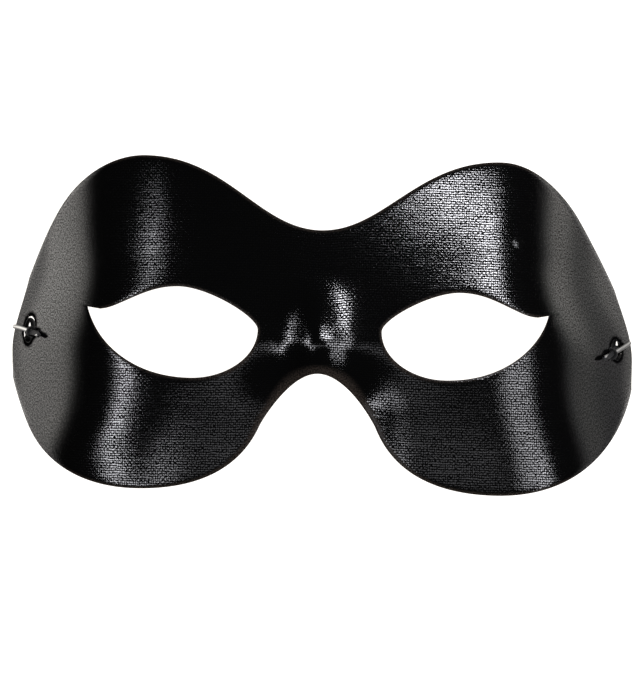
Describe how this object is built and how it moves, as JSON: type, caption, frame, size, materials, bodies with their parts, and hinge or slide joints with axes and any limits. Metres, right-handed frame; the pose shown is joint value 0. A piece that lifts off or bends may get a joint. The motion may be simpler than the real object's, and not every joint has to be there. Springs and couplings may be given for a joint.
{
  "type": "costume eye mask",
  "caption": "Stiff black moulded half mask with almond eye holes, a raised nose bridge and an elastic head cord held by steel barbs.",
  "frame": {"origin": "middle of the mask's width and height, on the plane that its temples rest on", "axes": "+Z out of the face, +Y towards the brow, +X to the right as the mask is seen from the front"},
  "size_m": [0.1699, 0.091, 0.0466],
  "materials": {
    "lacquered_cloth": "black plain-woven cloth moulded stiff and lacquered, glossy over the threads, with a smooth band along every edge",
    "braided_elastic": "matte black braid over a rubber core",
    "plated_steel": "bright zinc-plated wire"
  },
  "bodies": {
    "root": {"mask_shell": "lacquered_cloth", "elastic_cord": "braided_elastic", "barb_left": "plated_steel", "barb_right": "plated_steel"}
  },
  "joints": []
}
